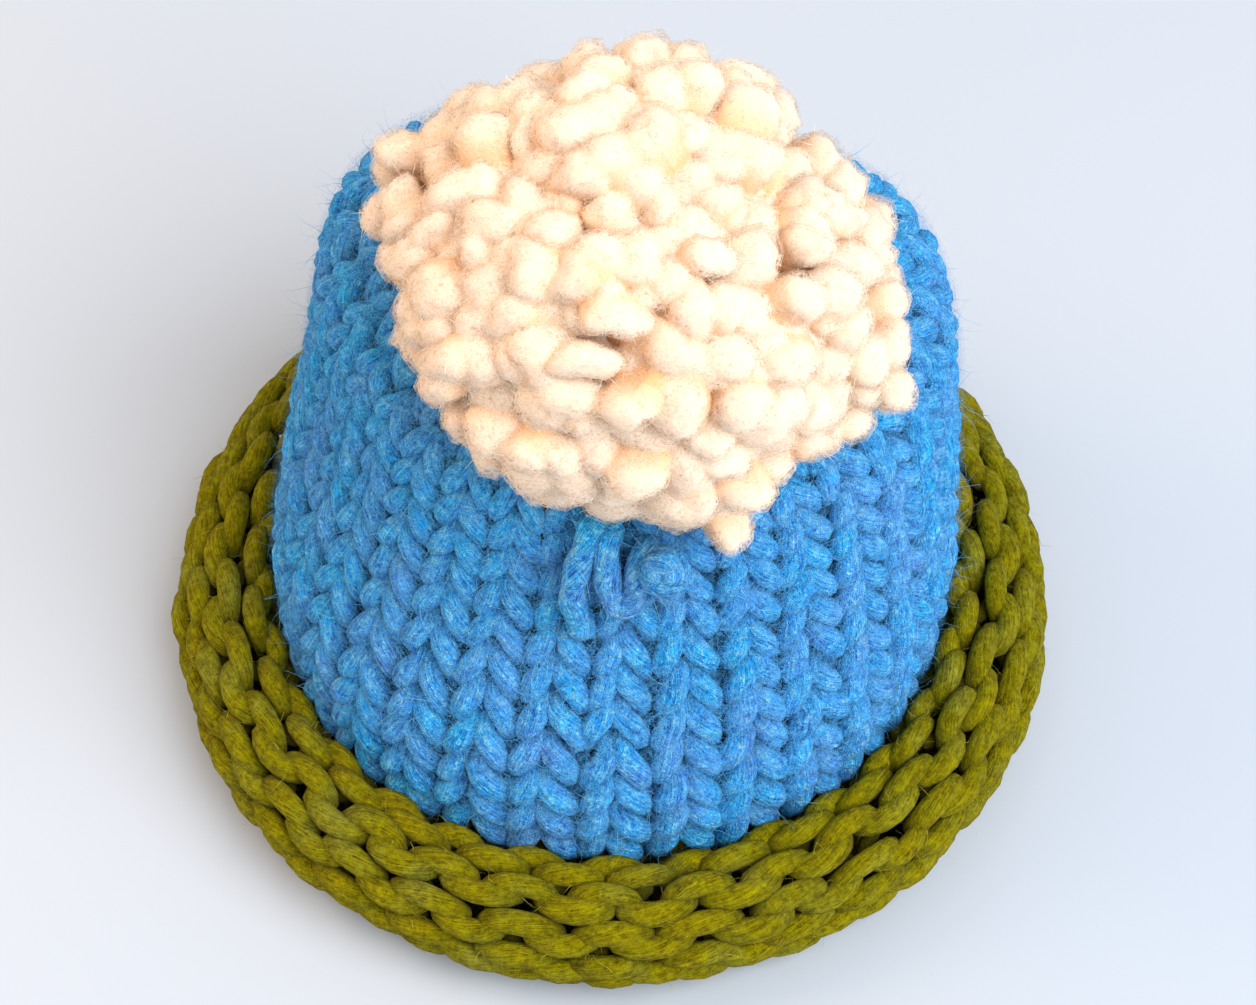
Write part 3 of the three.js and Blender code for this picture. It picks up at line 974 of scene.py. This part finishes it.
# the tied middle of the pompom: a plain ball of the same yarn, deep under the ends
CORE_RADIUS = 25 * MM
bpy.ops.mesh.primitive_ico_sphere_add(subdivisions=4, radius=CORE_RADIUS, location=POMPOM_CENTRE)
pompom_core = bpy.context.object
pompom_core.name = "pompom_core"
pompom_core.data.transform(pompom_core.matrix_world)
pompom_core.matrix_world.identity()
pompom_core.data.materials.append(cream_wool)
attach(pompom_core, "root")
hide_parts("pompom")

# Gather knot: the end of the blue yarn that draws the crown shut, looped once and knotted on
# itself just in front of the pompom. Its strands lie on the crown and end inside it.
KNOT_TAIL = (
    (-1.8, -32.4, 75.8),
    (-2.6, -34.9, 76.5),
    (-3.4, -36.8, 74.8),
    (-4.5, -38.1, 71.3),
    (-5.1, -39, 66.5),
    (-4.6, -39.3, 61.3),
    (-3.9, -38.5, 57.3),
)
KNOT_LOOP = (
    (0.4, -33.2, 74.9),
    (-0.4, -36.2, 75.2),
    (-0.3, -38.3, 73.1),
    (0, -39.3, 69),
    (1.4, -39.9, 65.3),
    (3.3, -39.7, 67),
    (4, -38.9, 71),
    (4.6, -37.4, 73.3),
    (5.4, -34.6, 72.8),
)
KNOT_BALL = (
    (5.7, -35.3, 73.6),
    (6.4, -38.4, 74.8),
    (8.3, -38.9, 75.8),
    (9.4, -40.1, 74.2),
    (8.4, -40.7, 71.6),
    (6.4, -40.5, 72.4),
    (6.3, -40.1, 75.4),
    (7.9, -40.4, 76.8),
    (8.9, -40.9, 74.4),
    (7.5, -40.5, 71.8),
    (8.6, -37.4, 65.1),
)
KNOT_YARN_RADIUS = 1.95 * MM
KNOT_SIDES = 16
KNOT_STEPS = 90
# the yarn's thick and thin places, and the turns of its fibres, in radians a metre
KNOT_SWELL = 0.08
KNOT_SWELLS = 900
KNOT_TWIST = 9 / CROWN_YARN_LENGTH


def yarn_piece(name, route, radius, material):
    """A length of round yarn along a route, closed at both ends, with its fibres' twist."""
    middle = through_points(route, np.linspace(0, 1, KNOT_STEPS)) * MM
    along = np.gradient(middle, axis=0)
    along /= np.linalg.norm(along, axis=1, keepdims=True)
    side = np.cross(along, (0, 0, 1))
    side /= np.linalg.norm(side, axis=1, keepdims=True)
    up = np.cross(side, along)
    angle = np.linspace(0, 2 * math.pi, KNOT_SIDES, endpoint=False)[None, :, None]
    run = np.concatenate([[0], np.cumsum(np.linalg.norm(np.diff(middle, axis=0), axis=1))])
    fat = radius * (1 + KNOT_SWELL * np.sin(run * KNOT_SWELLS))[:, None, None]
    rings = middle[:, None] + fat * (np.cos(angle) * side[:, None] + np.sin(angle) * up[:, None])
    corner = np.arange(KNOT_STEPS * KNOT_SIDES).reshape(KNOT_STEPS, KNOT_SIDES)
    ends = [corner[0, ::-1].tolist(), corner[-1].tolist()]
    mesh = bpy.data.meshes.new(name)
    mesh.from_pydata(rings.reshape(-1, 3).tolist(), [], faces_round(corner).tolist() + ends)
    turned = angle[..., 0] + run[:, None] * KNOT_TWIST
    fibre = np.stack([np.cos(turned), np.sin(turned), run[:, None] + 0 * turned], -1)
    mesh.attributes.new("fibre", "FLOAT_VECTOR", "POINT").data.foreach_set("vector", fibre.ravel())
    mesh.shade_smooth()
    mesh.materials.append(material)
    piece = bpy.data.objects.new(name, mesh)
    bpy.context.scene.collection.objects.link(piece)
    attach(piece, "root")
    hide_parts("gather_knot")
    return piece


for name, route in (("knot_tail", KNOT_TAIL), ("knot_loop", KNOT_LOOP), ("knot_ball", KNOT_BALL)):
    yarn_piece(name, route, KNOT_YARN_RADIUS, blue_wool)

# Fuzz: single wool fibres, a few millimetres long, that stand off the yarn all over the hat.
# They are the fibres' own ends, which spinning leaves loose, so each grows out of its yarn.
FIBRE_SIDES = 3
FIBRE_BEND = 1.6


def fuzz_tree():
    """Thin tapering fibres scattered over a piece, each one closed and bent its own way."""
    tree, size = new_tree(
        "fuzz",
        {
            "Piece": "Object",
            "Fibres": "Int",
            "Bends": "Int",
            "Thickness": "Float",
            "Shortest": "Float",
            "Longest": "Float",
            "Stand": "Float",
            "Curl": "Float",
            "Seed": "Int",
            "Yarn": "Material",
        },
    )
    piece = shape_of(tree, size["Piece"])
    area = add_node(tree, "GeometryNodeAttributeStatistic", {"Geometry": piece}, domain="FACE")
    face = tree.nodes.new("GeometryNodeInputMeshFaceArea").outputs[0]
    tree.links.new(face, area.inputs[2])
    density = size["Fibres"] / Number(tree, area.outputs["Sum"])
    inputs = {"Mesh": piece, "Density": density, "Seed": size["Seed"]}
    spread = add_node(tree, "GeometryNodeDistributePointsOnFaces", inputs)

    # each fibre faces its own way, and bends its own way
    upright = scaled(tree, spread.outputs["Normal"], size["Stand"])
    astray = chance(tree, size["Seed"] + 1, *EACH_WAY)
    facing = vectors(tree, "ADD", upright, astray)
    bend = chance(tree, size["Seed"] + 2, (-9, -9, -9), (9, 9, 9))
    points = stored(tree, spread.outputs["Points"], "bend", bend, "FLOAT_VECTOR")
    turned = add_node(tree, "FunctionNodeAlignRotationToVector", {"Vector": facing}, axis="Z")
    inputs = {"Vertices": FIBRE_SIDES, "Side Segments": size["Bends"], "Radius Top": 0.0, "Depth": 1.0}
    inputs["Radius Bottom"] = size["Thickness"] / size["Longest"]
    fibre = add_node(tree, "GeometryNodeMeshCone", inputs).outputs["Mesh"]
    fibre = stored(tree, fibre, "up_fibre", parts_of(tree, own_place(tree))[2])
    length = add_node(tree, "FunctionNodeRandomValue", {2: size["Shortest"], 3: size["Longest"]})
    inputs = {"Points": points, "Instance": fibre, "Scale": length.outputs[1]}
    inputs["Rotation"] = turned.outputs[0]
    fibres = add_node(tree, "GeometryNodeInstanceOnPoints", inputs).outputs[0]
    fibres = add_node(tree, "GeometryNodeRealizeInstances", {"Geometry": fibres}).outputs[0]
    up = Number(tree, named_value(tree, "up_fibre"))
    place = vector_of(tree, up * FIBRE_BEND, 0.0, 0.0)
    place = vectors(tree, "ADD", place, named_value(tree, "bend", "FLOAT_VECTOR"))
    bent = scaled(tree, noise_about_zero(tree, place, 1.0, 0.0), up * size["Curl"])
    fibres = moved(tree, fibres, bent)
    end_tree(tree, fibres, size["Yarn"].socket)
    return tree


fuzz = fuzz_tree()


def fuzz_wool(name, shade):
    """Single fibres catch more light than the yarn does, so they are paler."""
    material = bpy.data.materials.new(name)
    material.use_nodes = True
    shader = material.node_tree.nodes["Principled BSDF"]
    shader.inputs["Base Color"].default_value = colour(*shade)
    shader.inputs["Roughness"].default_value = 0.7
    return material


blue_fibre = fuzz_wool("blue_fibre", (120, 186, 230))
green_fibre = fuzz_wool("green_fibre", (190, 180, 60))
cream_fibre = fuzz_wool("cream_fibre", (255, 246, 232))
BLUE_FUZZ = {
    "Bends": 3,
    "Thickness": 0.055 * MM,
    "Shortest": 2 * MM,
    "Longest": 6 * MM,
    "Stand": 0.3,
    "Curl": 9 * MM,
}
GREEN_FUZZ = {**BLUE_FUZZ, "Shortest": 1.5 * MM, "Longest": 4 * MM, "Curl": 6 * MM}
CREAM_FUZZ = {
    "Bends": 1,
    "Thickness": 0.055 * MM,
    "Shortest": 1.4 * MM,
    "Longest": 3.4 * MM,
    "Stand": 0.7,
    "Curl": 2.6 * MM,
}
# name, piece that it stands on, node, fibres, slot, material, sizes
FUZZ = (
    ("crown_lower_fuzz", "crown_lower_rows", "crown", 6000, "blue_wool", blue_fibre, BLUE_FUZZ),
    ("crown_upper_fuzz", "crown_upper_rows", "crown", 6000, "blue_wool", blue_fibre, BLUE_FUZZ),
    ("knot_tail_fuzz", "knot_tail", "gather_knot", 160, "blue_wool", blue_fibre, BLUE_FUZZ),
    ("knot_loop_fuzz", "knot_loop", "gather_knot", 200, "blue_wool", blue_fibre, BLUE_FUZZ),
    ("knot_ball_fuzz", "knot_ball", "gather_knot", 200, "blue_wool", blue_fibre, BLUE_FUZZ),
    ("brim_fuzz", "brim_loops", "rolled_brim", 3000, "green_wool", green_fibre, GREEN_FUZZ),
    ("pompom_fuzz", "pompom_ends", "pompom", 12000, "cream_wool", cream_fibre, CREAM_FUZZ),
)
FIRST_FUZZ_SEED = 40
for seed, (name, piece_name, node, fibres, slot, yarn, sizes) in enumerate(FUZZ, FIRST_FUZZ_SEED):
    values = {"Piece": bpy.data.objects[piece_name], "Fibres": fibres, "Seed": seed, "Yarn": yarn}
    fuzz_piece = made_by(fuzz, name, {**values, **sizes})
    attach(fuzz_piece, "root")
    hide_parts(node)

# the forms have done their work
for form in (crown_form, brim_form):
    bpy.data.objects.remove(form)

# Table top and light: a pale plain surface, wide enough to fill the view, that the hat stands
# on. Soft daylight falls on it from the right and above, with a weak warm light at the left.
FLOOR_HALF = 1.2
PALE_TABLE = (198, 200, 207)
DAYLIGHT_TINT = (0.9, 0.95, 1.0, 1)
DAYLIGHT = 0.66
LIT_PLACE = (0, 0, 50 * MM)
floor_mesh = bpy.data.meshes.new("floor")
floor_corners = [(-FLOOR_HALF, -FLOOR_HALF, 0), (FLOOR_HALF, -FLOOR_HALF, 0)]
floor_corners += [(FLOOR_HALF, FLOOR_HALF, 0), (-FLOOR_HALF, FLOOR_HALF, 0)]
floor_mesh.from_pydata(floor_corners, [], [(0, 1, 2, 3)])
floor = bpy.data.objects.new("floor", floor_mesh)
bpy.context.scene.collection.objects.link(floor)
floor_material = bpy.data.materials.new("pale_table")
floor_material.use_nodes = True
floor_shader = floor_material.node_tree.nodes["Principled BSDF"]
floor_shader.inputs["Base Color"].default_value = colour(*PALE_TABLE)
floor_shader.inputs["Roughness"].default_value = 0.6
floor_mesh.materials.append(floor_material)

bpy.context.scene.view_settings.view_transform = "Standard"
bpy.context.scene.cycles.transparent_max_bounces = 32
world = bpy.data.worlds.new("daylight")
world.use_nodes = True
world.node_tree.nodes["Background"].inputs["Color"].default_value = DAYLIGHT_TINT
world.node_tree.nodes["Background"].inputs["Strength"].default_value = DAYLIGHT
bpy.context.scene.world = world


def soft_light(name, place, size, power, tint):
    """A round lamp that faces the hat."""
    light = bpy.data.lights.new(name, "AREA")
    light.shape = "DISK"
    light.size = size
    light.energy = power
    light.color = tint
    lamp = bpy.data.objects.new(name, light)
    lamp.location = place
    aim = np.array(LIT_PLACE) - np.array(place)
    lamp.rotation_euler = (
        math.acos(-aim[2] / np.linalg.norm(aim)),
        0,
        math.atan2(aim[1], aim[0]) - math.pi / 2,
    )
    bpy.context.scene.collection.objects.link(lamp)


soft_light("window", (0.75, -0.62, 1.1), size=1.3, power=26.5, tint=(0.86, 0.94, 1.0))
soft_light("fill", (-0.36, 0.04, 0.34), size=0.3, power=0.9, tint=(1.0, 0.75, 0.48))
